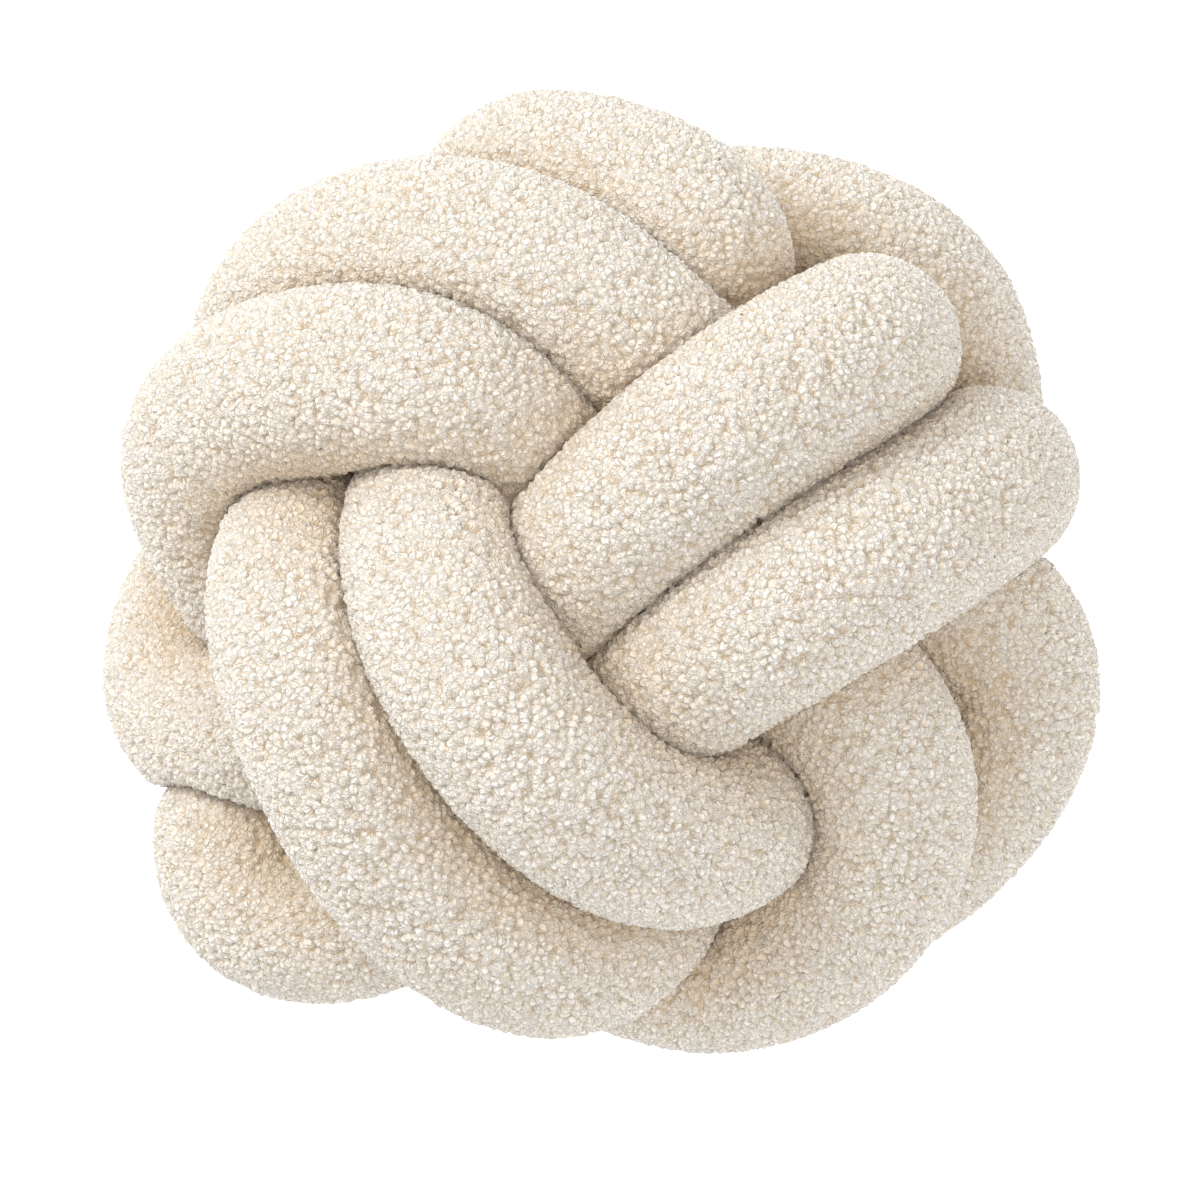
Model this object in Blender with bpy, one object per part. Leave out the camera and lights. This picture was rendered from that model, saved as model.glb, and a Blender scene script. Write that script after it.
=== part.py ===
"""Knot cushion: one long stuffed tube of cream boucle, laid round twice as a Turk's head knot.

Metres, +Z up. The cushion lies on its back on a small flat spot, so its face looks up. The origin
is in the middle of that flat spot. The knot has three leads and four bights: the tube goes three
times round the ball while it swings four times from one side of the ball's pole to the other.
The second round lies beside the first, so every strand of the knot is a pair of tubes. The turns
press on each other all over and the ball is stuffed, so they are one filled solid.
"""

import math

import bmesh
import bpy
import numpy as np

# Driving sizes.
TUBE_RADIUS = 0.0306        # a stuffed tube, with its short pile
BALL_RADIUS = 0.1701        # from the middle of the ball to the outside of its outermost turns
CONTACT_RADIUS = 0.0276     # half of what two tubes leave between their middles, pressed together
REST_DEPTH = 0.1340         # from the middle of the ball down to the flat spot
PRESSED = 0.0120            # how far the lowest turns are pressed flat
ROUND_LENGTH = 2.86         # one round of the knot, measured along the tube
CORE_RADIUS = 0.1000        # the stuffing that no gap between the tubes shows

# The knot.
LEADS = 3
BIGHTS = 4
POLE = (0.4316, 0.8993, 0.0712)         # the knot's axis, with the face looking along +Z
FIRST_BIGHT = (-0.768, 0.338, 0.382)    # towards the crossing where the count starts
BIGHT_LATITUDE = math.radians(46.0)     # how far the strand swings to each side
BIGHT_LEAD = math.radians(15.0)         # the strand's turn between a crossing and a bight
START_RADIUS = 0.118                    # of the strand's middle, before it is spaced
START_WEAVE = 0.022                     # how far it goes out and in to pass over and under
START_SPREAD = 0.029                    # from the middle of a pair of tubes to each tube

# How the turns are spaced.
TUBE_POINTS = 144
SPACING_PASSES = 800
PUSH = 0.6                  # share of an overlap that one pass takes away
BEND = 0.2                  # how strongly a tube keeps its curve even
STRETCH = 0.25              # how strongly a tube keeps its length
TIGHTEN = 0.0006            # how far one pass draws every point inwards
GUIDE_PULL = 0.7            # share of the way to its guide that one pass takes a point
PLACE_PULL = 0.5            # share of the way to its own place
FAIR_EVERY = 10
FAIR_WAVES = 22             # the waves along a round that the fairing keeps

# The face, as it is seen from VIEW_DISTANCE above the middle of the ball: for each tube in sight,
# which round it is on, the stretch of that round in degrees, and points that its middle passes
# over, in millimetres to the right of the ball's middle and up from it.
VIEW_DISTANCE = 1.9
GUIDE_DEPTH = -0.10         # below this the guides let go
GUIDES = (
    # tube, round, from, to, points
    ("upper right, inner", 0, 128, 187, ((-14, 9), (7, 26), (26, 38), (48, 53), (78, 71), (104, 85))),
    ("upper right, outer", 1, 130, 187, ((1, -41), (19, -36), (36, -26), (70, -7), (110, 16),
                                         (129, 29), (139, 36))),
    ("middle, inner", 0, -3, 48, ((-56, 29), (-54, 10), (-48, -20), (-38, -42), (-25, -62), (-3, -81),
                                  (17, -88), (37, -86), (54, -78))),
    ("middle, outer", 1, -3, 48, ((-100, 27), (-101, 0), (-97, -32), (-87, -68), (-72, -90),
                                  (-55, -110), (-33, -124), (-8, -128), (11, -125))),
    ("left, inner", 1, 220, 272, ((-141, 17), (-139, 36), (-128, 51), (-112, 60), (-92, 65), (-60, 62),
                                  (-36, 55), (-19, 46))),
    ("left, outer", 0, 220, 272, ((-101, 78), (-97, 91), (-84, 102), (-68, 110), (-47, 113),
                                  (-30, 111), (-13, 100), (1, 89), (14, 76))),
    ("lower right, inner", 1, 272, 312, ((91, -42), (97, -63), (97, -82), (92, -101), (81, -120),
                                         (65, -131), (44, -135), (22, -133))),
    ("lower left, inner", 0, 100, 132, ((-124, -12), (-139, -27), (-142, -44), (-139, -61))),
)

# Tubes that the guides alone leave open: the face's nearest pair, for its depth, and those along the
# face's edge, where the view is too slanting. For each, its round and the places of its middle in
# millimetres, in the ball's own frame.
PLACES = (
    # tube, round, (degrees, right, up, towards the viewer)
    ("upper right, inner", 0, ((147.5, 0, 16, 112), (150, 14, 28, 117), (152.5, 30, 40, 118),
                               (155, 46, 50, 114), (157.5, 62, 60, 106))),
    ("upper right, outer", 1, ((147.5, 17, -35, 92), (150, 29, -27, 106), (152.5, 42, -19, 115),
                               (155, 58, -11, 119), (157.5, 74, -2, 117), (160, 90, 8, 108))),
    ("top", 0, ((329, 47, 88, 55), (333, 34, 102, 62), (337, 20, 115, 60), (341, 1, 127, 42),
                (345, -18, 133, 24), (349, -37, 130, 8), (352, -49, 125, -5))),
    ("top right", 0, ((66.5, 125, 67, -4), (69, 116, 86, -2), (72, 102, 100, -2), (74.5, 85, 110, -6),
                      (77, 68, 114, -12))),
    ("lower right, outer", 0, ((265, 136, 4, 15), (267.5, 141, -15, 8), (270, 139, -37, 4),
                               (272.4, 134, -56, 0), (274.8, 124, -73, -5), (277.5, 110, -89, -12))),
    ("lower left, outer", 1, ((112, -121, -40, -55), (115, -127, -68, -30), (118.5, -127, -94, -12),
                              (121.5, -118, -112, -4), (124.5, -100, -122, 2), (128, -74, -117, 8))),
)

# The mesh.
TUBE_SECTIONS = 420
TUBE_SIDES = 24
VOXEL = 0.0035
KEPT_FACES = 0.100          # share of the voxel mesh's triangles that the solid keeps
NAME = "knot_cushion"
CREAM = (0.80, 0.735, 0.635, 1.0)


def unit(rows):
    return rows / np.linalg.norm(rows, axis=-1, keepdims=True)


def knot_axes():
    """The knot's pole and two directions square to it."""
    pole = unit(np.array(POLE))
    first = np.array(FIRST_BIGHT)
    first = unit(first - pole * (first @ pole))
    return pole, first, np.cross(pole, first)


def woven_rounds():
    """Both rounds of the knot on a ball, passing over and under in turn, before they are spaced."""
    pole, first, second = knot_axes()
    turn = np.linspace(0.0, 2.0 * math.pi, TUBE_POINTS, endpoint=False)
    swing = BIGHTS * (turn + BIGHT_LEAD)
    longitude = LEADS * turn
    latitude = BIGHT_LATITUDE * np.cos(swing)
    crossings = np.interp(np.degrees(swing) % 360.0, [-60, 60, 120, 240, 300, 420], [-1, 0, 1, 2, 3, 4])
    radius = START_RADIUS - START_WEAVE * np.cos(math.pi * crossings)
    around = np.outer(np.cos(longitude), first) + np.outer(np.sin(longitude), second)
    outward = around * np.cos(latitude)[:, None] + np.outer(np.sin(latitude), pole)
    middle = outward * radius[:, None]
    along = np.roll(middle, -1, axis=0) - np.roll(middle, 1, axis=0)
    aside = unit(np.cross(outward, along)) * START_SPREAD
    return np.stack([middle + aside, middle - aside])


def guide_rows():
    """For each guide: the points of the rounds that it holds, and its own points in metres."""
    degrees = np.arange(TUBE_POINTS) * 360.0 / TUBE_POINTS
    rows = []
    for _, lap, start, end, points in GUIDES:
        held = np.nonzero((degrees - start) % 360.0 <= end - start)[0] + lap * TUBE_POINTS
        rows.append((held, np.array(points) / 1000.0))
    return rows


def guide_pull(points, guides):
    """How far each point of the tubes has to move to lie under its guide, seen from above."""
    pull = np.zeros_like(points)
    for held, line in guides:
        depth = (VIEW_DISTANCE - points[held, 2:3]) / VIEW_DISTANCE
        seen = points[held, :2] / depth
        starts = line[:-1]
        steps = line[1:] - starts
        share = ((seen[:, None] - starts) * steps).sum(-1) / (steps ** 2).sum(-1)
        feet = starts + np.clip(share, 0.0, 1.0)[..., None] * steps
        away = np.linalg.norm(seen[:, None] - feet, axis=-1)
        nearest = away.argmin(1)
        row = np.arange(len(held))
        beside = share[row, nearest]
        past_start = (nearest == 0) & (beside < 0.0)
        past_end = (nearest == len(steps) - 1) & (beside > 1.0)
        near = ~past_start & ~past_end & (points[held, 2] > GUIDE_DEPTH)
        pull[held[near], :2] += ((feet[row, nearest] - seen) * depth)[near]
    return pull


def placed_rows():
    """The points of the rounds that have a place of their own, and those places in metres."""
    degrees = np.arange(TUBE_POINTS) * 360.0 / TUBE_POINTS
    held = []
    places = []
    for _, lap, rows in PLACES:
        at, *spots = np.array(rows).T
        row = np.nonzero((degrees >= at[0]) & (degrees <= at[-1]))[0]
        held.append(row + lap * TUBE_POINTS)
        places.append(np.stack([np.interp(degrees[row], at, spot) for spot in spots], axis=1) / 1000.0)
    return np.concatenate(held), np.concatenate(places)


def faired(rounds):
    """The rounds without their short waves."""
    waves = np.fft.rfft(rounds, axis=1)
    keep = np.exp(-(np.arange(waves.shape[1]) / FAIR_WAVES) ** 4)
    return np.fft.irfft(waves * keep[None, :, None], TUBE_POINTS, axis=1)


def spaced(rounds):
    """Moves the turns apart until a tube's width lies between their middles, within the ball."""
    laps = len(rounds)
    count = TUBE_POINTS
    step_length = ROUND_LENGTH / count
    lap = np.repeat(np.arange(laps), count)
    place = np.tile(np.arange(count), laps)
    after = lap * count + (place + 1) % count
    before = lap * count + (place - 1) % count
    apart = np.abs(place[:, None] - place)
    apart = np.minimum(apart, count - apart)
    own = (lap[:, None] == lap) & (apart <= math.ceil(math.pi * CONTACT_RADIUS / step_length))
    guides = guide_rows()
    placed, places = placed_rows()
    reach = np.full((laps * count, 1), BALL_RADIUS - TUBE_RADIUS)
    reach[placed, 0] = np.maximum(reach[placed, 0], np.linalg.norm(places, axis=1))
    floor = TUBE_RADIUS - REST_DEPTH - PRESSED
    points = rounds.reshape(-1, 3)
    for number in range(SPACING_PASSES):
        gap = points[:, None] - points
        distance = np.sqrt((gap ** 2).sum(-1)) + 1e-9
        overlap = np.where(own, 0.0, np.maximum(0.0, 2.0 * CONTACT_RADIUS - distance))
        touching = np.maximum(1.0, (overlap > 0.0).sum(1) / 3.0)
        push = (gap * (overlap / distance)[..., None]).sum(1) * 0.5 / touching[:, None]
        pull = guide_pull(points, guides) * GUIDE_PULL
        pull[placed] += (places - points[placed]) * PLACE_PULL
        curve = 0.5 * (points[after] + points[before]) - points
        uneven = 0.5 * (curve[after] + curve[before]) - curve
        piece = points[after] - points
        length = np.linalg.norm(piece, axis=1, keepdims=True)
        stretch = (length - step_length) / length * piece * STRETCH
        points = points + PUSH * push - BEND * uneven + stretch - stretch[before]
        points += pull - unit(points) * TIGHTEN
        radius = np.linalg.norm(points, axis=1, keepdims=True)
        points *= 1.0 - 0.5 * np.maximum(0.0, radius - reach) / radius
        points[:, 2] = np.maximum(points[:, 2], floor)
        if number % FAIR_EVERY == FAIR_EVERY - 1:
            points = faired(points.reshape(laps, count, 3)).reshape(-1, 3)
    return points.reshape(laps, count, 3)


def finer(lap, count):
    """A closed round with more points, read from its waves, so it stays one smooth curve."""
    waves = np.fft.rfft(lap, axis=0)
    return np.fft.irfft(waves, count, axis=0) * (count / len(lap))


def tube(lap, name):
    """A closed tube along a round."""
    middle = finer(lap, TUBE_SECTIONS)
    along = unit(np.roll(middle, -1, axis=0) - np.roll(middle, 1, axis=0))
    outward = unit(middle - along * (middle * along).sum(1, keepdims=True))
    aside = np.cross(along, outward)
    angle = np.linspace(0.0, 2.0 * math.pi, TUBE_SIDES, endpoint=False)
    ring = np.cos(angle)[None, :, None] * outward[:, None] + np.sin(angle)[None, :, None] * aside[:, None]
    points = (middle[:, None] + TUBE_RADIUS * ring).reshape(-1, 3)
    faces = []
    for section in range(TUBE_SECTIONS):
        this = section * TUBE_SIDES
        that = (section + 1) % TUBE_SECTIONS * TUBE_SIDES
        for side in range(TUBE_SIDES):
            other = (side + 1) % TUBE_SIDES
            faces.append((this + side, this + other, that + other, that + side))
    mesh = bpy.data.meshes.new(name)
    mesh.from_pydata(points.tolist(), [], faces)
    return mesh


def stuffed_ball(rounds):
    """Both rounds and the stuffing between them, as one closed mesh."""
    mesh = bpy.data.meshes.new(NAME)
    work = bmesh.new()
    for number, lap in enumerate(rounds):
        part = tube(lap, f"round_{number}")
        work.from_mesh(part)
        bpy.data.meshes.remove(part)
    bmesh.ops.create_icosphere(work, subdivisions=4, radius=CORE_RADIUS)
    bmesh.ops.recalc_face_normals(work, faces=work.faces)
    work.to_mesh(mesh)
    work.free()
    ball = bpy.data.objects.new(NAME, mesh)
    bpy.context.scene.collection.objects.link(ball)
    join = ball.modifiers.new("Join turns", "REMESH")
    join.mode = "VOXEL"
    join.voxel_size = VOXEL
    thin = ball.modifiers.new("Fewer faces", "DECIMATE")
    thin.ratio = KEPT_FACES
    thin.use_collapse_triangulate = True
    return ball


def drop_inner_shells(work):
    """Keeps the outer shell only, so that the gaps sealed between the turns count as stuffing."""
    waiting = set(work.verts)
    shells = []
    while waiting:
        shell = {waiting.pop()}
        edge = list(shell)
        while edge:
            vert = edge.pop()
            near = [link.other_vert(vert) for link in vert.link_edges]
            fresh = [other for other in near if other in waiting]
            waiting.difference_update(fresh)
            shell.update(fresh)
            edge.extend(fresh)
        shells.append(shell)
    outer = max(shells, key=len)
    inner = [vert for vert in work.verts if vert not in outer]
    bmesh.ops.delete(work, geom=inner, context="VERTS")


def stand_on_flat_spot(ball):
    """Bakes the modifiers, cuts the flat spot and moves the ball up onto it."""
    bpy.context.view_layer.update()
    whole = ball.evaluated_get(bpy.context.evaluated_depsgraph_get())
    mesh = bpy.data.meshes.new_from_object(whole)
    ball.modifiers.clear()
    ball.data = mesh
    work = bmesh.new()
    work.from_mesh(mesh)
    drop_inner_shells(work)
    everything = work.verts[:] + work.edges[:] + work.faces[:]
    cut = bmesh.ops.bisect_plane(
        work, geom=everything, dist=1e-5, plane_co=(0.0, 0.0, -REST_DEPTH), plane_no=(0.0, 0.0, 1.0),
        clear_inner=True)
    rims = [item for item in cut["geom_cut"] if isinstance(item, bmesh.types.BMEdge)]
    bmesh.ops.triangle_fill(work, edges=rims, use_beauty=True, normal=(0.0, 0.0, -1.0))
    bmesh.ops.translate(work, verts=work.verts, vec=(0.0, 0.0, REST_DEPTH))
    bmesh.ops.recalc_face_normals(work, faces=work.faces)
    work.to_mesh(mesh)
    work.free()
    mesh.shade_smooth()


def boucle():
    material = bpy.data.materials.new("cream_boucle")
    material.use_nodes = True
    shader = material.node_tree.nodes["Principled BSDF"]
    shader.inputs["Base Color"].default_value = CREAM
    shader.inputs["Roughness"].default_value = 0.95
    shader.inputs["Metallic"].default_value = 0.0
    return material


def main():
    for old in list(bpy.data.objects):
        bpy.data.objects.remove(old, do_unlink=True)
    rounds = spaced(woven_rounds())
    ball = stuffed_ball(rounds)
    stand_on_flat_spot(ball)
    ball.data.materials.append(boucle())


main()
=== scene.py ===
"""Knot cushion of cream boucle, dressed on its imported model.

One long stuffed tube is laid round twice as a Turk's head knot and pulled up into a ball. The
cushion lies on its back on a pale floor, and the camera looks straight down at its face. The
solid's route is repeated here, the tubes are made as one padded body, and geometry nodes raise
the boucle's curls on it. The material draws its yarn and colours in the same places as the curls.
"""

import math

import bmesh
import bpy
import numpy as np
from bpy.props import FloatProperty, FloatVectorProperty, PointerProperty
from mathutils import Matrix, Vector


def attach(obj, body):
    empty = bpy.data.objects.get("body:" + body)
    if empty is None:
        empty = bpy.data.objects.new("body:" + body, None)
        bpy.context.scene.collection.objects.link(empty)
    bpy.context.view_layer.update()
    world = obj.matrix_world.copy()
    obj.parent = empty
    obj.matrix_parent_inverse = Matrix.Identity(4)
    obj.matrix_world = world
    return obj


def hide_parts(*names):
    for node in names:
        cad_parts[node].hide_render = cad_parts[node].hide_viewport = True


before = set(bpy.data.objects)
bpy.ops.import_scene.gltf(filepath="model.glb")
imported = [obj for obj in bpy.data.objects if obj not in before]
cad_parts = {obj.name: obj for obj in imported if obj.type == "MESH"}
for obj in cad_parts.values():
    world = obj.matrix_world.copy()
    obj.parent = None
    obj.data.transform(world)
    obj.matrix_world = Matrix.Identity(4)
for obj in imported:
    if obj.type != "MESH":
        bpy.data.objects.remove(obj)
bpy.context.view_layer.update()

bl_info = {
    "name": "Knot cushion",
    "version": (1, 0, 0),
    "blender": (4, 5, 0),
    "location": "3D View > Sidebar > Knot cushion",
    "description": "A ball cushion of one stuffed boucle tube in a doubled Turk's head knot",
    "category": "Add Mesh",
}

NODE = "knot_cushion"
PIECE = "boucle_knot"

# ---------------------------------------------------------------- the knot's route

LEADS = 3
BIGHTS = 4
POLE = (0.4316, 0.8993, 0.0712)         # the knot's axis, with the face looking along +Z
FIRST_BIGHT = (-0.768, 0.338, 0.382)    # towards the crossing where the count starts
BIGHT_LATITUDE = math.radians(46.0)     # how far the strand swings to each side
BIGHT_LEAD = math.radians(15.0)         # the strand's turn between a crossing and a bight
START_RADIUS = 0.118                    # of the strand's middle, before it is spaced
START_WEAVE = 0.022                     # how far it goes out and in to pass over and under
START_SPREAD = 0.029                    # from the middle of a pair of tubes to each tube

TUBE_RADIUS = 0.0306        # a stuffed tube, with its short pile
BALL_RADIUS = 0.1701        # from the middle of the ball to the outside of its outermost turns
CONTACT_RADIUS = 0.0276     # half of what two tubes leave between their middles, pressed together
REST_DEPTH = 0.1340         # from the middle of the ball down to the flat spot
PRESSED = 0.0120            # how far the lowest turns are pressed flat
ROUND_LENGTH = 2.86         # one round of the knot, measured along the tube

TUBE_POINTS = 144
SPACING_PASSES = 800
PUSH = 0.6                  # share of an overlap that one pass takes away
BEND = 0.2                  # how strongly a tube keeps its curve even
STRETCH = 0.25              # how strongly a tube keeps its length
TIGHTEN = 0.0006            # how far one pass draws every point inwards
GUIDE_PULL = 0.7            # share of the way to its guide that one pass takes a point
PLACE_PULL = 0.5            # share of the way to its own place
FAIR_EVERY = 10
FAIR_WAVES = 22             # the waves along a round that the fairing keeps

# The face, as it is seen from VIEW_DISTANCE above the middle of the ball: for each tube in sight,
# which round it is on, the stretch of that round in degrees, and points that its middle passes
# over, in millimetres to the right of the ball's middle and up from it.
VIEW_DISTANCE = 1.9
PIXEL_SIZE = 0.00034        # what one pixel of the image covers at the middle of the ball
IMAGE_WIDTH = 1200          # in pixels
BALL_LIFT = 25              # the ball's middle stands this many pixels above the image's
GUIDE_DEPTH = -0.10         # below this the guides let go
GUIDES = (
    # tube, round, from, to, points
    ("upper right, inner", 0, 128, 187, ((-14, 9), (7, 26), (26, 38), (48, 53), (78, 71), (104, 85))),
    ("upper right, outer", 1, 130, 187, ((1, -41), (19, -36), (36, -26), (70, -7), (110, 16),
                                         (129, 29), (139, 36))),
    ("middle, inner", 0, -3, 48, ((-56, 29), (-54, 10), (-48, -20), (-38, -42), (-25, -62), (-3, -81),
                                  (17, -88), (37, -86), (54, -78))),
    ("middle, outer", 1, -3, 48, ((-100, 27), (-101, 0), (-97, -32), (-87, -68), (-72, -90),
                                  (-55, -110), (-33, -124), (-8, -128), (11, -125))),
    ("left, inner", 1, 220, 272, ((-141, 17), (-139, 36), (-128, 51), (-112, 60), (-92, 65), (-60, 62),
                                  (-36, 55), (-19, 46))),
    ("left, outer", 0, 220, 272, ((-101, 78), (-97, 91), (-84, 102), (-68, 110), (-47, 113),
                                  (-30, 111), (-13, 100), (1, 89), (14, 76))),
    ("lower right, inner", 1, 272, 312, ((91, -42), (97, -63), (97, -82), (92, -101), (81, -120),
                                         (65, -131), (44, -135), (22, -133))),
    ("lower left, inner", 0, 100, 132, ((-124, -12), (-139, -27), (-142, -44), (-139, -61))),
)

# Tubes that the guides alone leave open: the face's nearest pair, for its depth, and those along the
# face's edge, where the view is too slanting. For each, its round and the places of its middle in
# millimetres, in the ball's own frame.
PLACES = (
    # tube, round, (degrees, right, up, towards the viewer)
    ("upper right, inner", 0, ((147.5, 0, 16, 112), (150, 14, 28, 117), (152.5, 30, 40, 118),
                               (155, 46, 50, 114), (157.5, 62, 60, 106))),
    ("upper right, outer", 1, ((147.5, 17, -35, 92), (150, 29, -27, 106), (152.5, 42, -19, 115),
                               (155, 58, -11, 119), (157.5, 74, -2, 117), (160, 90, 8, 108))),
    ("top", 0, ((329, 47, 88, 55), (333, 34, 102, 62), (337, 20, 115, 60), (341, 1, 127, 42),
                (345, -18, 133, 24), (349, -37, 130, 8), (352, -49, 125, -5))),
    ("top right", 0, ((66.5, 125, 67, -4), (69, 116, 86, -2), (72, 102, 100, -2), (74.5, 85, 110, -6),
                      (77, 68, 114, -12))),
    ("lower right, outer", 0, ((265, 136, 4, 15), (267.5, 141, -15, 8), (270, 139, -37, 4),
                               (272.4, 134, -56, 0), (274.8, 124, -73, -5), (277.5, 110, -89, -12))),
    ("lower left, outer", 1, ((112, -121, -40, -55), (115, -127, -68, -30), (118.5, -127, -94, -12),
                              (121.5, -118, -112, -4), (124.5, -100, -122, 2), (128, -74, -117, 8))),
)

# At the lower left the outer turn lies over its neighbour: how far each is shifted once the turns
# are spaced, in millimetres.
SHIFTS = (
    # tube, round, (degrees, right, up, towards the viewer)
    ("lower left, outer", 1, ((102.5, 0, 0, 0), (105, 0, 0, 7), (107.5, 2, 1, 21), (110, 5, 1, 37),
                              (112.5, 7, 0, 46), (115, 4, -1, 31), (117.5, 1, -1, 19), (120, 0, 0, 8),
                              (125, 0, 0, 0))),
    ("lower left, inner", 0, ((115, 0, 0, 0), (117.5, -2, 0, -2), (120, -2, -2, -6), (122.5, -2, -4, -13),
                              (125, 0, -8, -22), (127.5, 3, -11, -28), (130, 4, -11, -26),
                              (132.5, 2, -7, -17), (135, 0, -3, -8), (140, 0, 0, 0))),
)


def unit(rows):
    """The rows at a length of one."""
    return rows / np.linalg.norm(rows, axis=-1, keepdims=True)


def woven_rounds():
    """Both rounds of the knot on a ball, passing over and under in turn, before they are spaced."""
    pole = unit(np.array(POLE))
    first = np.array(FIRST_BIGHT)
    first = unit(first - pole * (first @ pole))
    second = np.cross(pole, first)
    turn = np.linspace(0.0, 2.0 * math.pi, TUBE_POINTS, endpoint=False)
    swing = BIGHTS * (turn + BIGHT_LEAD)
    longitude = LEADS * turn
    latitude = BIGHT_LATITUDE * np.cos(swing)
    crossings = np.interp(np.degrees(swing) % 360.0, [-60, 60, 120, 240, 300, 420], [-1, 0, 1, 2, 3, 4])
    radius = START_RADIUS - START_WEAVE * np.cos(math.pi * crossings)
    around = np.outer(np.cos(longitude), first) + np.outer(np.sin(longitude), second)
    outward = around * np.cos(latitude)[:, None] + np.outer(np.sin(latitude), pole)
    middle = outward * radius[:, None]
    along = np.roll(middle, -1, axis=0) - np.roll(middle, 1, axis=0)
    aside = unit(np.cross(outward, along)) * START_SPREAD
    return np.stack([middle + aside, middle - aside])


def guide_rows():
    """For each guide: the points of the rounds that it holds, and its own points in metres."""
    degrees = np.arange(TUBE_POINTS) * 360.0 / TUBE_POINTS
    rows = []
    for _, lap, start, end, points in GUIDES:
        held = np.nonzero((degrees - start) % 360.0 <= end - start)[0] + lap * TUBE_POINTS
        rows.append((held, np.array(points) / 1000.0))
    return rows


def guide_pull(points, guides):
    """How far each point of the tubes has to move to lie under its guide, seen from above."""
    pull = np.zeros_like(points)
    for held, line in guides:
        depth = (VIEW_DISTANCE - points[held, 2:3]) / VIEW_DISTANCE
        seen = points[held, :2] / depth
        starts = line[:-1]
        steps = line[1:] - starts
        share = ((seen[:, None] - starts) * steps).sum(-1) / (steps ** 2).sum(-1)
        feet = starts + np.clip(share, 0.0, 1.0)[..., None] * steps
        away = np.linalg.norm(seen[:, None] - feet, axis=-1)
        nearest = away.argmin(1)
        row = np.arange(len(held))
        beside = share[row, nearest]
        past_start = (nearest == 0) & (beside < 0.0)
        past_end = (nearest == len(steps) - 1) & (beside > 1.0)
        near = ~past_start & ~past_end & (points[held, 2] > GUIDE_DEPTH)
        pull[held[near], :2] += ((feet[row, nearest] - seen) * depth)[near]
    return pull


def placed_rows(table):
    """The points of the rounds that a table holds, and what it gives for each, in metres."""
    degrees = np.arange(TUBE_POINTS) * 360.0 / TUBE_POINTS
    held = []
    places = []
    for _, lap, rows in table:
        at, *spots = np.array(rows).T
        row = np.nonzero((degrees >= at[0]) & (degrees <= at[-1]))[0]
        held.append(row + lap * TUBE_POINTS)
        places.append(np.stack([np.interp(degrees[row], at, spot) for spot in spots], axis=1) / 1000.0)
    return np.concatenate(held), np.concatenate(places)


def faired(rounds):
    """The rounds without their short waves."""
    waves = np.fft.rfft(rounds, axis=1)
    keep = np.exp(-(np.arange(waves.shape[1]) / FAIR_WAVES) ** 4)
    return np.fft.irfft(waves * keep[None, :, None], TUBE_POINTS, axis=1)


def spaced(rounds):
    """Moves the turns apart until a tube's width lies between their middles, within the ball."""
    laps = len(rounds)
    count = TUBE_POINTS
    step_length = ROUND_LENGTH / count
    lap = np.repeat(np.arange(laps), count)
    place = np.tile(np.arange(count), laps)
    after = lap * count + (place + 1) % count
    before = lap * count + (place - 1) % count
    apart = np.abs(place[:, None] - place)
    apart = np.minimum(apart, count - apart)
    own = (lap[:, None] == lap) & (apart <= math.ceil(math.pi * CONTACT_RADIUS / step_length))
    guides = guide_rows()
    placed, places = placed_rows(PLACES)
    reach = np.full((laps * count, 1), BALL_RADIUS - TUBE_RADIUS)
    reach[placed, 0] = np.maximum(reach[placed, 0], np.linalg.norm(places, axis=1))
    floor = TUBE_RADIUS - REST_DEPTH - PRESSED
    points = rounds.reshape(-1, 3)
    for number in range(SPACING_PASSES):
        gap = points[:, None] - points
        distance = np.sqrt((gap ** 2).sum(-1)) + 1e-9
        overlap = np.where(own, 0.0, np.maximum(0.0, 2.0 * CONTACT_RADIUS - distance))
        touching = np.maximum(1.0, (overlap > 0.0).sum(1) / 3.0)
        push = (gap * (overlap / distance)[..., None]).sum(1) * 0.5 / touching[:, None]
        pull = guide_pull(points, guides) * GUIDE_PULL
        pull[placed] += (places - points[placed]) * PLACE_PULL
        curve = 0.5 * (points[after] + points[before]) - points
        uneven = 0.5 * (curve[after] + curve[before]) - curve
        piece = points[after] - points
        length = np.linalg.norm(piece, axis=1, keepdims=True)
        stretch = (length - step_length) / length * piece * STRETCH
        points = points + PUSH * push - BEND * uneven + stretch - stretch[before]
        points += pull - unit(points) * TIGHTEN
        radius = np.linalg.norm(points, axis=1, keepdims=True)
        points *= 1.0 - 0.5 * np.maximum(0.0, radius - reach) / radius
        points[:, 2] = np.maximum(points[:, 2], floor)
        if number % FAIR_EVERY == FAIR_EVERY - 1:
            points = faired(points.reshape(laps, count, 3)).reshape(-1, 3)
    shifted, shifts = placed_rows(SHIFTS)
    points[shifted] += shifts
    return faired(points.reshape(laps, count, 3))


# ---------------------------------------------------------------- node trees

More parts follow.
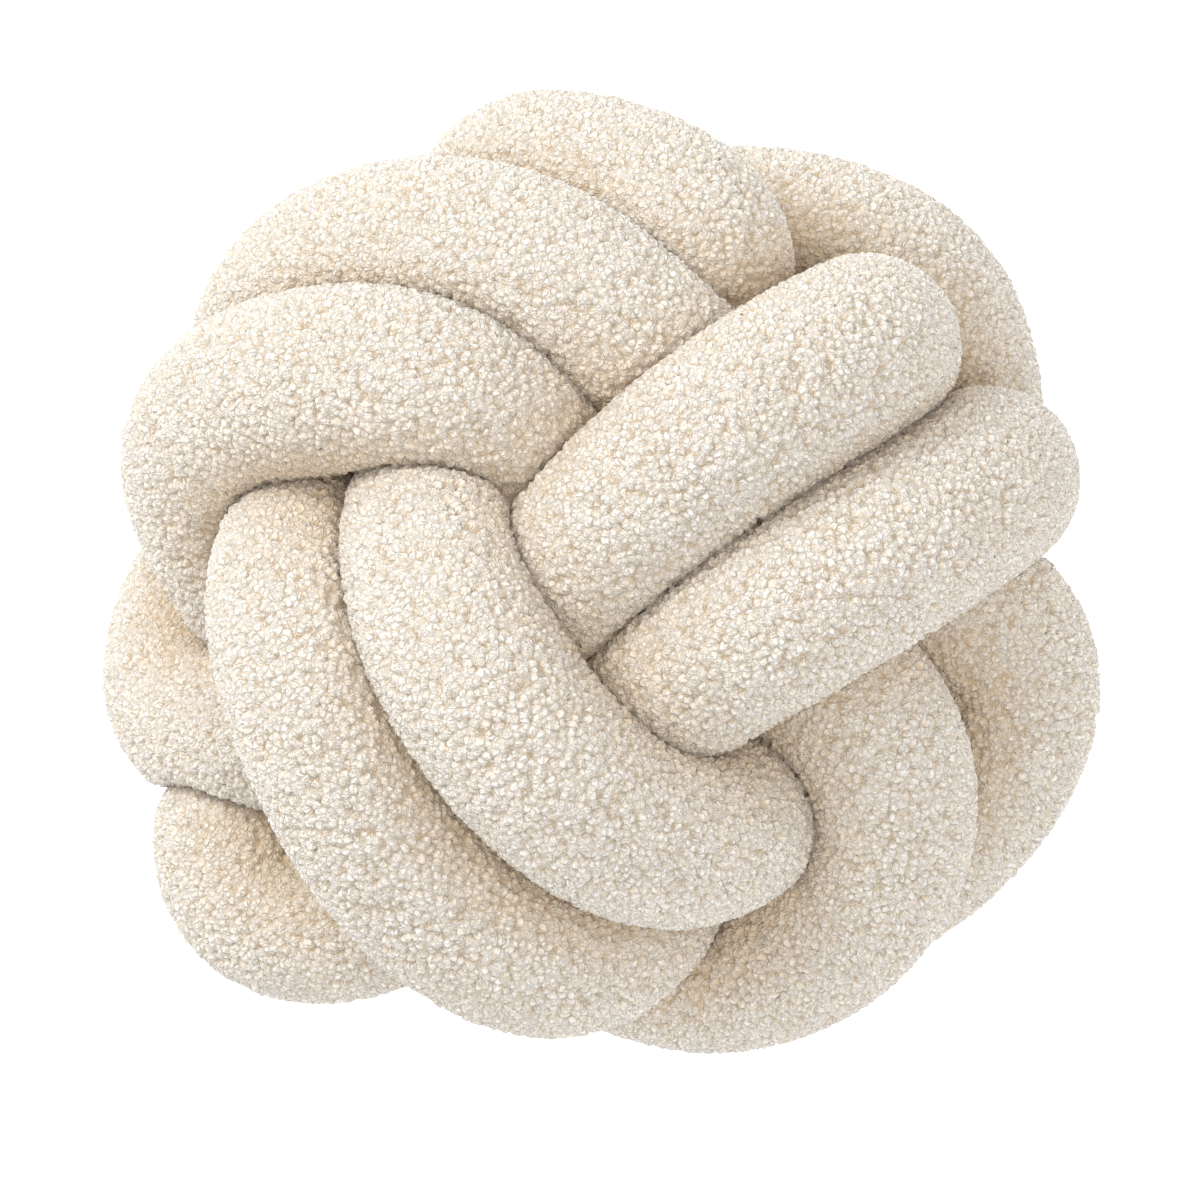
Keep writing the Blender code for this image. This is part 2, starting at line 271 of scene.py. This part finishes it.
class Wire:
    """A socket of a node tree, for writing its maths as Python expressions."""

    def __init__(self, desk, socket):
        self.desk = desk
        self.socket = socket

    def maths(self, operation, *others):
        """A Math node on this value and others."""
        return self.desk.add("ShaderNodeMath", {"operation": operation}, self, *others)

    def __add__(self, other):
        return self.maths("ADD", other)

    def __radd__(self, other):
        return self.desk.add("ShaderNodeMath", {"operation": "ADD"}, other, self)

    def __sub__(self, other):
        return self.maths("SUBTRACT", other)

    def __rsub__(self, other):
        return self.desk.add("ShaderNodeMath", {"operation": "SUBTRACT"}, other, self)

    def __mul__(self, other):
        return self.maths("MULTIPLY", other)

    def __rmul__(self, other):
        return self.desk.add("ShaderNodeMath", {"operation": "MULTIPLY"}, other, self)

    def __truediv__(self, other):
        return self.maths("DIVIDE", other)

    def __rtruediv__(self, other):
        return self.desk.add("ShaderNodeMath", {"operation": "DIVIDE"}, other, self)

    def __pow__(self, other):
        return self.maths("POWER", other)

    def at_least(self, other):
        return self.maths("MAXIMUM", other)

    def beside(self, out):
        """Another output of this value's node."""
        return Wire(self.desk, self.socket.node.outputs[out])


class Desk:
    """Adds nodes to one tree."""

    def __init__(self, tree):
        self.tree = tree

    def plug(self, socket, value):
        """Links a value to a socket, or sets it there where it is a plain number."""
        if isinstance(value, Wire):
            self.tree.links.new(value.socket, socket)
        else:
            socket.default_value = value

    def add(self, kind, settings=None, *values, out=0, **named):
        """A node of a kind, with its settings made first, then its sockets filled by place or by name."""
        node = self.tree.nodes.new(kind)
        for name, value in (settings or {}).items():
            setattr(node, name, value)
        for socket, value in zip(node.inputs, values):
            if value is not None:
                self.plug(socket, value)
        for name, value in named.items():
            self.plug(node.inputs[name.replace("_", " ")], value)
        return Wire(self, node.outputs[out])

    def step(self, value, low, high):
        """0 below low, 1 above high, and a smooth rise between them."""
        return self.add("ShaderNodeMapRange", {"interpolation_type": "SMOOTHSTEP"}, Value=value,
                        From_Min=low, From_Max=high)

    def vectors(self, operation, *values, **named):
        """A Vector Math node."""
        return self.add("ShaderNodeVectorMath", {"operation": operation}, *values, **named)

    def noise(self, place, scale, detail):
        """A noise's number at a place."""
        return self.add("ShaderNodeTexNoise", Vector=place, Scale=scale, Detail=detail)

    def attribute(self, name, out=2):
        """What the mesh keeps under a name: a number, or a vector from its output 1."""
        return self.add("ShaderNodeAttribute", {"attribute_name": name}, out=out)

    def blend(self, share, first, second):
        """A colour between two colours."""
        node = self.tree.nodes.new("ShaderNodeMix")
        node.data_type = "RGBA"
        self.plug(node.inputs[0], share)
        self.plug(node.inputs[6], first)
        self.plug(node.inputs[7], second)
        return Wire(self, node.outputs[2])


CURL_WANDER = 1.15          # how far a curl's outline wanders, in curl widths
CURL_MIDDLE = 0.66          # the pattern's middle height, which stays on the cloth
CLUMP_SEED = 7.0            # from the curls' seed to that of their clumps
YARN_LOOPS = 24.0           # how closely the yarn is looped
LOOP_SPREAD = 0.05          # keeps the loops of neighbouring curls unlike, in metres
FIBRE_SCALE = 2600.0        # of the single fibres, per metre
PATCH_SCALE = 70.0          # of the slightly darker patches, per metre


def curl_pattern(desk, place, width, seed):
    """The boucle's curls: how high the pile stands, how near a curl's edge is, and a colour per curl."""
    noise = {"noise_dimensions": "4D"}
    wander = desk.add("ShaderNodeTexNoise", noise, Vector=place, W=seed, Scale=1.5 / width, Detail=1.5,
                      Roughness=0.6, out=1)
    wander = desk.vectors("SUBTRACT", wander, (0.5, 0.5, 0.5))
    drawn = desk.vectors("ADD", place, desk.vectors("SCALE", wander, Scale=width * CURL_WANDER))
    cells = {"Vector": drawn, "Scale": 1.0 / width, "Randomness": 1.0}
    knob = desk.add("ShaderNodeTexVoronoi", {"feature": "F1"}, **cells)
    tint = knob.beside(1)
    edge = desk.add("ShaderNodeTexVoronoi", {"feature": "DISTANCE_TO_EDGE"}, **cells)
    clump = desk.add("ShaderNodeTexNoise", noise, Vector=place, W=seed + CLUMP_SEED,
                     Scale=0.4 / width, Detail=1.0)
    dome = (1.0 - knob * knob * 1.4).at_least(0.0)
    return dome * 0.8 + clump * 0.4, edge, tint


def curl_tree():
    """Raises the boucle's curls on a surface. The pile's roots stay with it as the attribute "root"."""
    tree = bpy.data.node_groups.new("Boucle curls", "GeometryNodeTree")
    ask = tree.interface
    ask.new_socket("Geometry", in_out="INPUT", socket_type="NodeSocketGeometry")
    for name, default in (("Curl width", 0.0024), ("Curl height", 0.0029), ("Seed", 3.0)):
        ask.new_socket(name, in_out="INPUT", socket_type="NodeSocketFloat").default_value = default
    ask.new_socket("Material", in_out="INPUT", socket_type="NodeSocketMaterial")
    ask.new_socket("Geometry", in_out="OUTPUT", socket_type="NodeSocketGeometry")
    desk = Desk(tree)
    given = tree.nodes.new("NodeGroupInput")
    body, width, height, seed, material = (Wire(desk, socket) for socket in given.outputs[:5])
    place = desk.add("GeometryNodeInputPosition")
    kept = desk.add("GeometryNodeStoreNamedAttribute", {"data_type": "FLOAT_VECTOR", "domain": "POINT"},
                    Geometry=body, Name="root", Value=place)
    curl, _, _ = curl_pattern(desk, place, width, seed)
    lift = (curl - CURL_MIDDLE) * height
    offset = desk.vectors("SCALE", desk.add("GeometryNodeInputNormal"), Scale=lift)
    moved = desk.add("GeometryNodeSetPosition", Geometry=kept, Offset=offset)
    real = desk.add("GeometryNodeRealizeInstances", None, moved)
    done = desk.add("GeometryNodeSetMaterial", Geometry=real, Material=material)
    desk.plug(tree.nodes.new("NodeGroupOutput").inputs[0], done)
    return tree


def fill_modifier(modifier, tree, values):
    """Sets a geometry nodes modifier's inputs by their sockets' identifiers."""
    for item in tree.interface.items_tree:
        if item.item_type == "SOCKET" and item.in_out == "INPUT" and item.name in values:
            modifier[item.identifier] = values[item.name]


def boucle_cloth(look, size):
    """Cream boucle: pale curls of yarn, a bloom of fibre and no gloss, with painted highlight on the
    curls' tips and painted shade in thin tan lines between them, in the creases and under the turns.
    """
    material = bpy.data.materials.new("cream_boucle_cloth")
    material.use_nodes = True
    tree = material.node_tree
    shader = tree.nodes["Principled BSDF"]
    desk = Desk(tree)
    place = desk.attribute("root", out=1)
    pinch = desk.attribute("pinch")
    shade = desk.attribute("shade")
    curl, edge, tint = curl_pattern(desk, place, size.curl_width, size.curl_seed)

    # The yarn lies in every curl in loops of its own, which are the contours of a noise.
    own = desk.vectors("ADD", desk.vectors("SCALE", tint, Scale=LOOP_SPREAD), place)
    swirl = desk.noise(own, 0.45 / look.yarn_width, 0.0)
    yarn = (swirl * YARN_LOOPS).maths("SINE") * 0.5 + 0.5
    fibre = desk.noise(place, FIBRE_SCALE, 2.0)
    broken = desk.step(desk.noise(place, 0.8 / size.curl_width, 1.0), 0.35, 0.55)
    knob = desk.step(edge, 0.0, 0.25)
    pile = knob * 0.55 + yarn * 0.45

    # Colour: cream, with a paler painted highlight at the tips, and painted shade: thin tan lines along
    # the yarn and between the curls, darker where the pile is low, and darker where turns lie over the
    # cloth or press on it.
    patch = desk.noise(place, PATCH_SCALE, 3.0)
    # Painted highlight: the cloth is paler where the pile stands highest, where the light falls on the
    # curls' tops.
    cloth = desk.blend(desk.step(curl * 0.6 + yarn * 0.3, 0.30, 0.80), look.curl_colour, look.painted_tip_highlight_colour)
    cloth = desk.blend(desk.step(patch, 0.45, 0.75) * 0.2, cloth, look.shade_colour)
    crease = 1.0 - desk.step(edge, 0.0, 0.11)
    line = 1.0 - desk.step(yarn, 0.0, 0.40)
    low = 1.0 - desk.step(curl, 0.25, 0.75)
    painted_shade_in_gaps = (crease * (0.25 + broken * 0.6)).at_least(line * broken * 0.75) * (0.4 + low * 0.6)
    # Painted shade: the tan lines between the curls and along the yarn stand in for the shade in these
    # gaps.
    cloth = desk.blend(painted_shade_in_gaps, cloth, look.painted_gap_shade_colour)
    # Painted shade: tan where other turns stand over the cloth and hide its sky.
    cloth = desk.blend(shade ** 0.6 * 0.62, cloth, look.painted_hollow_shade_colour)
    # Painted shade: brown in the crease where two turns press together.
    cloth = desk.blend(pinch * 0.85, cloth, look.painted_crease_shade_colour)
    desk.plug(shader.inputs["Base Color"], cloth)

    rough = desk.step(fibre, 0.3, 0.7) * 0.1 + 0.88
    desk.plug(shader.inputs["Roughness"], rough)
    relief = desk.add("ShaderNodeBump", Strength=look.yarn_relief, Distance=size.curl_width * 0.6,
                      Height=pile + fibre * 0.12)
    desk.plug(shader.inputs["Normal"], relief)
    shader.inputs["Metallic"].default_value = 0.0
    shader.inputs["Specular IOR Level"].default_value = 0.2
    shader.inputs["Sheen Weight"].default_value = look.bloom
    shader.inputs["Sheen Roughness"].default_value = 0.6
    shader.inputs["Sheen Tint"].default_value = (1.0, 0.97, 0.92, 1.0)
    return material


# ---------------------------------------------------------------- meshes

TUBE_SECTIONS = 720         # rings of a tube along one round
TUBE_SIDES = 48
CORE_LEVEL = 5              # how often the faces of the stuffing's ball are divided
CUT_TOLERANCE = 1e-5

CREASE_POINTS = 480         # points of a round that a spot's nearest turns are found from
SAME_TURN = 0.062           # nearer than this along a round is the same turn
OUT_OF_REACH = 1.0          # stands for the squared distance of what isn't another turn
SPOTS_AT_ONCE = 20000
# The pinch darkens the cloth's colour in the crease, as painted shade.
PINCH_SHARE = 0.4           # share of a crease's width that is dark
SKY_EDGE = 0.12             # how steeply over a spot a turn starts to shade it
SHADE_REACH = 0.02          # squared distance past which a turn no longer shades a spot


def finer(lap, count):
    """A closed round with more points, read from its waves, so it stays one smooth curve."""
    waves = np.fft.rfft(lap, axis=0)
    return np.fft.irfft(waves, count, axis=0) * (count / len(lap))


def add_tube(work, lap, radius, sections, sides):
    """Adds a closed tube along a round to a mesh in the making."""
    middle = finer(lap, sections)
    along = unit(np.roll(middle, -1, axis=0) - np.roll(middle, 1, axis=0))
    outward = unit(middle - along * (middle * along).sum(1, keepdims=True))
    aside = np.cross(along, outward)
    angle = np.linspace(0.0, 2.0 * math.pi, sides, endpoint=False)
    ring = np.cos(angle)[None, :, None] * outward[:, None] + np.sin(angle)[None, :, None] * aside[:, None]
    points = (middle[:, None] + radius * ring).reshape(-1, 3)
    verts = [work.verts.new(point) for point in points.tolist()]
    for section in range(sections):
        this = section * sides
        that = (section + 1) % sections * sides
        for side in range(sides):
            other = (side + 1) % sides
            corners = (this + side, this + other, that + other, that + side)
            work.faces.new([verts[corner] for corner in corners])


def outer_shell(work):
    """Drops the shells sealed inside, which nothing shows."""
    waiting = set(work.verts)
    shells = []
    while waiting:
        shell = {waiting.pop()}
        edge = list(shell)
        while edge:
            vert = edge.pop()
            near = [link.other_vert(vert) for link in vert.link_edges]
            fresh = [other for other in near if other in waiting]
            waiting.difference_update(fresh)
            shell.update(fresh)
            edge.extend(fresh)
        shells.append(shell)
    outer = max(shells, key=len)
    bmesh.ops.delete(work, geom=[vert for vert in work.verts if vert not in outer], context="VERTS")


def stand_on_flat_spot(work):
    """Cuts the flat spot and moves the ball up onto it."""
    everything = work.verts[:] + work.edges[:] + work.faces[:]
    cut = bmesh.ops.bisect_plane(
        work, geom=everything, dist=CUT_TOLERANCE, plane_co=(0.0, 0.0, -REST_DEPTH),
        plane_no=(0.0, 0.0, 1.0), clear_inner=True)
    rims = [item for item in cut["geom_cut"] if isinstance(item, bmesh.types.BMEdge)]
    bmesh.ops.triangle_fill(work, edges=rims, use_beauty=True, normal=(0.0, 0.0, -1.0))
    bmesh.ops.translate(work, verts=work.verts, vec=(0.0, 0.0, REST_DEPTH))
    bmesh.ops.recalc_face_normals(work, faces=work.faces)


def vertex_rows(mesh, kind):
    """A mesh's vertices' places ("co") or normals ("normal") as rows."""
    rows = np.empty(len(mesh.vertices) * 3, dtype=np.float32)
    if kind == "co":
        mesh.vertices.foreach_get("co", rows)
    else:
        mesh.vertex_normals.foreach_get("vector", rows)
    return rows.reshape(-1, 3)


def pinch_creases(mesh, rounds, depth, width):
    """Draws the cloth in where two turns press on each other, so each keeps its own round side.

    A spot's two nearest turns are found from the rounds. Where they are nearly as near, the spot
    lies in the crease between them. It goes down along the face in which they touch, and its
    nearness is kept as the attribute "pinch". The attribute "shade" is the share of a spot's sky
    that other turns stand in, counting only what stands over the spot.
    """
    count = CREASE_POINTS
    middles = np.concatenate([finer(lap, count) for lap in rounds]).astype(np.float32)
    middles[:, 2] += REST_DEPTH
    number = np.arange(len(middles))
    apart = np.abs(number[:, None] - number) % count
    apart = np.minimum(apart, count - apart)
    own = (number[:, None] // count == number // count) & (apart * ROUND_LENGTH / count < SAME_TURN)
    points = vertex_rows(mesh, "co")
    normals = vertex_rows(mesh, "normal")
    pinch = np.zeros(len(points), dtype=np.float32)
    shade = np.zeros(len(points), dtype=np.float32)
    blocks = 2.0 * TUBE_RADIUS * ROUND_LENGTH / count / math.pi
    for start in range(0, len(points), SPOTS_AT_ONCE):
        part = slice(start, start + SPOTS_AT_ONCE)
        spots = points[part]
        away = ((spots ** 2).sum(1)[:, None] - 2.0 * spots @ middles.T + (middles ** 2).sum(1))
        first = away.argmin(1)
        row = np.arange(len(spots))
        near = np.sqrt(np.maximum(away[row, first], 0.0))
        away[own[first]] = OUT_OF_REACH
        second = away.argmin(1)
        facing = normals[part] @ middles.T - (normals[part] * spots).sum(1)[:, None]
        steep = facing / np.sqrt(away)
        over = np.clip((steep - SKY_EDGE) / (1.0 - SKY_EDGE), 0.0, 1.0)
        # The cloth's colour paints shade from this share.
        shade[part] = np.where(away < SHADE_REACH, over / away, 0.0).sum(1) * blocks
        margin = np.sqrt(np.maximum(away[row, second], 0.0)) - near
        across = unit(middles[second] - middles[first])
        out = normals[part]
        inward = out - (out * across).sum(1, keepdims=True) * across
        inward /= np.linalg.norm(inward, axis=1, keepdims=True) + 1e-6
        share = np.clip(1.0 - margin / width, 0.0, 1.0)
        points[part] = spots - inward * (depth * (1.0 - np.sqrt(1.0 - share ** 2)))[:, None]
        # The cloth's colour paints shade in the crease from this nearness.
        pinch[part] = np.clip(1.0 - margin / (PINCH_SHARE * width), 0.0, 1.0) ** 2
    mesh.vertices.foreach_set("co", points.ravel())
    mesh.attributes.new("pinch", "FLOAT", "POINT").data.foreach_set("value", pinch)
    mesh.attributes.new("shade", "FLOAT", "POINT").data.foreach_set("value", np.minimum(shade, 1.0))
    mesh.update()


def plain_copy(piece):
    """The piece's evaluated mesh in place of its own, with its modifiers gone."""
    bpy.context.view_layer.update()
    mesh = bpy.data.meshes.new_from_object(piece.evaluated_get(bpy.context.evaluated_depsgraph_get()))
    piece.modifiers.clear()
    piece.data = mesh
    return mesh


def stuffed_ball(size):
    """Both rounds and the stuffing between them, as one closed body on its flat spot."""
    rounds = spaced(woven_rounds())
    work = bmesh.new()
    for lap in rounds:
        add_tube(work, lap, size.tube_radius, TUBE_SECTIONS, TUBE_SIDES)
    bmesh.ops.create_icosphere(work, subdivisions=CORE_LEVEL, radius=size.core_radius)
    bmesh.ops.recalc_face_normals(work, faces=work.faces)
    mesh = bpy.data.meshes.new(PIECE)
    work.to_mesh(mesh)
    work.free()
    ball = bpy.data.objects.new(PIECE, mesh)
    bpy.context.scene.collection.objects.link(ball)
    join = ball.modifiers.new("Join turns", "REMESH")
    join.mode = "VOXEL"
    join.voxel_size = size.mesh_step * 1.0
    mesh = plain_copy(ball)
    work = bmesh.new()
    work.from_mesh(mesh)
    outer_shell(work)
    stand_on_flat_spot(work)
    work.to_mesh(mesh)
    work.free()
    pinch_creases(mesh, rounds, size.crease_depth, size.crease_width)
    return ball


def press_on_floor(mesh):
    """Presses the pile under the cushion flat."""
    points = vertex_rows(mesh, "co")
    points[:, 2] = np.maximum(points[:, 2], 0.0)
    mesh.vertices.foreach_set("co", points.ravel())
    mesh.update()


# ---------------------------------------------------------------- lamps and camera

KEY_PLACE = (-1.4, 1.3, 1.3)
KEY_SIZE = 1.0
FILL_PLACE = (0.3, -0.2, 2.6)
FILL_SIZE = 1.2
LAMP_COLOUR = (1.0, 0.985, 0.96)
SENSOR_WIDTH = 36.0         # of the camera, in millimetres


def add_lamp(name, place, power, size):
    """A square lamp at a place, turned to the middle of the ball."""
    data = bpy.data.lights.new(name, "AREA")
    data.energy = power
    data.size = size
    data.color = LAMP_COLOUR
    lamp = bpy.data.objects.new(name, data)
    lamp.location = place
    aim = Vector((0.0, 0.0, REST_DEPTH)) - Vector(place)
    lamp.rotation_euler = aim.to_track_quat("-Z", "Y").to_euler()
    bpy.context.scene.collection.objects.link(lamp)


def add_camera():
    """The camera over the cushion's face, at the photo's angle and with its frame."""
    data = bpy.data.cameras.new("camera")
    data.sensor_width = SENSOR_WIDTH
    data.lens = SENSOR_WIDTH * VIEW_DISTANCE / (IMAGE_WIDTH * PIXEL_SIZE)
    data.clip_end = 50.0
    camera = bpy.data.objects.new("camera", data)
    camera.location = (0.0, 0.0, REST_DEPTH + VIEW_DISTANCE)
    camera.rotation_euler = (-math.atan(BALL_LIFT * PIXEL_SIZE / VIEW_DISTANCE), 0.0, 0.0)
    bpy.context.scene.collection.objects.link(camera)
    bpy.context.scene.camera = camera


# ---------------------------------------------------------------- settings and makers

class KnotSizes(bpy.types.PropertyGroup):
    """Sizes of the stuffed tube and its boucle."""

    tube_radius: FloatProperty(
        name="Tube radius", description="Radius of the stuffed tube up to the middle of its pile",
        default=TUBE_RADIUS, min=0.02, max=0.04, unit="LENGTH", precision=4)
    core_radius: FloatProperty(
        name="Core radius", description="Radius of the stuffing that closes the gaps between the tubes",
        default=0.1, min=0.05, max=0.13, unit="LENGTH", precision=4)
    mesh_step: FloatProperty(
        name="Mesh step", description="Size of the faces that carry the curls",
        default=0.0010, min=0.0008, max=0.006, unit="LENGTH", precision=4)
    curl_width: FloatProperty(
        name="Curl width", description="Width of one curl of the boucle",
        default=0.0024, min=0.001, max=0.01, unit="LENGTH", precision=4)
    curl_height: FloatProperty(
        name="Curl height", description="Height of the curls over the cloth",
        default=0.0029, min=0.0, max=0.006, unit="LENGTH", precision=4)
    curl_seed: FloatProperty(
        name="Curl seed", description="Seed of the curls' spread", default=3.0, min=0.0, max=1000.0)
    crease_depth: FloatProperty(
        name="Crease depth", description="How far the cloth is drawn in between two turns",
        default=0.006, min=0.0, max=0.02, unit="LENGTH", precision=4)
    crease_width: FloatProperty(
        name="Crease width", description="How near two turns come to each other where it is drawn in",
        default=0.007, min=0.001, max=0.03, unit="LENGTH", precision=4)


class ClothLook(bpy.types.PropertyGroup):
    """Colours of the boucle, with its painted shade and painted highlight, and its finish."""

    curl_colour: FloatVectorProperty(
        name="Curls", description="Colour of the curls", subtype="COLOR", size=4,
        default=(0.90, 0.80, 0.665, 1.0), min=0.0, max=1.0)
    # Painted highlight: the paler colour of the curls' tops, where the light falls on them.
    painted_tip_highlight_colour: FloatVectorProperty(
        name="Tips", description="Colour of the curls that stand up most", subtype="COLOR", size=4,
        default=(0.965, 0.925, 0.87, 1.0), min=0.0, max=1.0)
    # Painted shade: the colour of the tan lines between the curls and along the yarn, for the shade in
    # these gaps.
    painted_gap_shade_colour: FloatVectorProperty(
        name="Between curls", description="Colour of the cloth between the curls", subtype="COLOR",
        size=4, default=(0.54, 0.38, 0.21, 1.0), min=0.0, max=1.0)
    # Painted shade: the brown of the crease between two turns.
    painted_crease_shade_colour: FloatVectorProperty(
        name="Creases", description="Colour of the cloth pinched between two turns", subtype="COLOR",
        size=4, default=(0.34, 0.21, 0.10, 1.0), min=0.0, max=1.0)
    # Painted shade: the tan of the cloth under a turn that lies over it.
    painted_hollow_shade_colour: FloatVectorProperty(
        name="Hollows", description="Colour of the cloth under a turn that lies over it",
        subtype="COLOR", size=4, default=(0.72, 0.52, 0.29, 1.0), min=0.0, max=1.0)
    shade_colour: FloatVectorProperty(
        name="Patches", description="Colour of the slightly darker patches", subtype="COLOR",
        size=4, default=(0.80, 0.71, 0.58, 1.0), min=0.0, max=1.0)
    yarn_width: FloatProperty(
        name="Yarn width", description="Width of the loose yarn in a curl",
        default=0.0012, min=0.0005, max=0.005, unit="LENGTH", precision=4)
    yarn_relief: FloatProperty(
        name="Yarn relief", description="Strength of the yarn's relief",
        default=0.8, min=0.0, max=1.0, subtype="FACTOR")
    bloom: FloatProperty(
        name="Bloom", description="Light that the loose fibres catch at a slant",
        default=0.85, min=0.0, max=1.0, subtype="FACTOR")


class StageLook(bpy.types.PropertyGroup):
    """Floor, room light and lamps."""

    floor_size: FloatProperty(
        name="Floor size", description="Side of the square floor", default=12.0, min=2.0, max=50.0,
        unit="LENGTH")
    floor_colour: FloatVectorProperty(
        name="Floor", description="Colour of the floor", subtype="COLOR", size=4,
        default=(0.93, 0.93, 0.93, 1.0), min=0.0, max=1.0)
    floor_glow: FloatProperty(
        name="Floor glow", description="Light that the floor gives of itself, as a lit backdrop does",
        default=0.75, min=0.0, max=5.0)
    sky: FloatProperty(
        name="Room light", description="Strength of the even light of the room", default=0.72, min=0.0,
        max=5.0)
    key_power: FloatProperty(
        name="Key lamp", description="Power of the large soft lamp", default=26.0, min=0.0,
        max=500.0, unit="POWER")
    fill_power: FloatProperty(
        name="Fill lamp", description="Power of the lamp beside the camera", default=22.0,
        min=0.0, max=500.0, unit="POWER")


class KNOT_OT_cushion(bpy.types.Operator):
    """Makes the stuffed knot and raises its boucle's curls."""

    bl_idname = "knot.cushion"
    bl_label = "Knot cushion"

    def execute(self, context):
        size = context.scene.knot_sizes
        ball = stuffed_ball(size)
        cloth = boucle_cloth(context.scene.knot_cloth, size)
        tree = curl_tree()
        curls = ball.modifiers.new("Boucle curls", "NODES")
        curls.node_group = tree
        fill_modifier(curls, tree, {
            "Curl width": size.curl_width, "Curl height": size.curl_height,
            "Seed": size.curl_seed, "Material": cloth})
        mesh = plain_copy(ball)
        press_on_floor(mesh)
        mesh.shade_smooth()
        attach(ball, "root")
        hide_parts(NODE)
        return {"FINISHED"}


class KNOT_OT_stage(bpy.types.Operator):
    """Makes the pale floor, the soft light and the camera over the cushion's face."""

    bl_idname = "knot.stage"
    bl_label = "Stage"

    def execute(self, context):
        look = context.scene.knot_stage
        half = look.floor_size / 2.0
        mesh = bpy.data.meshes.new("floor")
        mesh.from_pydata([(-half, -half, 0.0), (half, -half, 0.0), (half, half, 0.0), (-half, half, 0.0)],
                         [], [(0, 1, 2, 3)])
        floor = bpy.data.objects.new("floor", mesh)
        context.scene.collection.objects.link(floor)
        paint = bpy.data.materials.new("pale_floor")
        paint.use_nodes = True
        shader = paint.node_tree.nodes["Principled BSDF"]
        shader.inputs["Base Color"].default_value = look.floor_colour
        shader.inputs["Roughness"].default_value = 0.9
        shader.inputs["Emission Color"].default_value = (1.0, 1.0, 1.0, 1.0)
        shader.inputs["Emission Strength"].default_value = look.floor_glow
        mesh.materials.append(paint)

        world = bpy.data.worlds.new("soft room")
        world.use_nodes = True
        back = world.node_tree.nodes["Background"]
        back.inputs["Color"].default_value = (1.0, 1.0, 1.0, 1.0)
        back.inputs["Strength"].default_value = look.sky
        context.scene.world = world

        add_lamp("key lamp", KEY_PLACE, look.key_power, KEY_SIZE)
        add_lamp("fill lamp", FILL_PLACE, look.fill_power, FILL_SIZE)
        add_camera()
        context.scene.view_settings.view_transform = "Standard"
        return {"FINISHED"}


class KNOT_PT_panel(bpy.types.Panel):
    """The knot cushion's settings and makers."""

    bl_idname = "KNOT_PT_panel"
    bl_label = "Knot cushion"
    bl_space_type = "VIEW_3D"
    bl_region_type = "UI"
    bl_category = "Knot cushion"

    def draw(self, context):
        scene = context.scene
        for group, maker in ((scene.knot_sizes, None), (scene.knot_cloth, KNOT_OT_cushion),
                             (scene.knot_stage, KNOT_OT_stage)):
            box = self.layout.box()
            for name in group.__annotations__:
                box.prop(group, name)
            if maker:
                box.operator(maker.bl_idname)


GROUPS = (("knot_sizes", KnotSizes), ("knot_cloth", ClothLook), ("knot_stage", StageLook))
CLASSES = (KnotSizes, ClothLook, StageLook, KNOT_OT_cushion, KNOT_OT_stage, KNOT_PT_panel)


def register():
    for item in CLASSES:
        bpy.utils.register_class(item)
    for name, group in GROUPS:
        setattr(bpy.types.Scene, name, PointerProperty(type=group))


def unregister():
    for name, _ in GROUPS:
        delattr(bpy.types.Scene, name)
    for item in reversed(CLASSES):
        bpy.utils.unregister_class(item)


def main():
    register()
    bpy.ops.knot.cushion()
    bpy.ops.knot.stage()


if __name__ == "__main__":
    main()
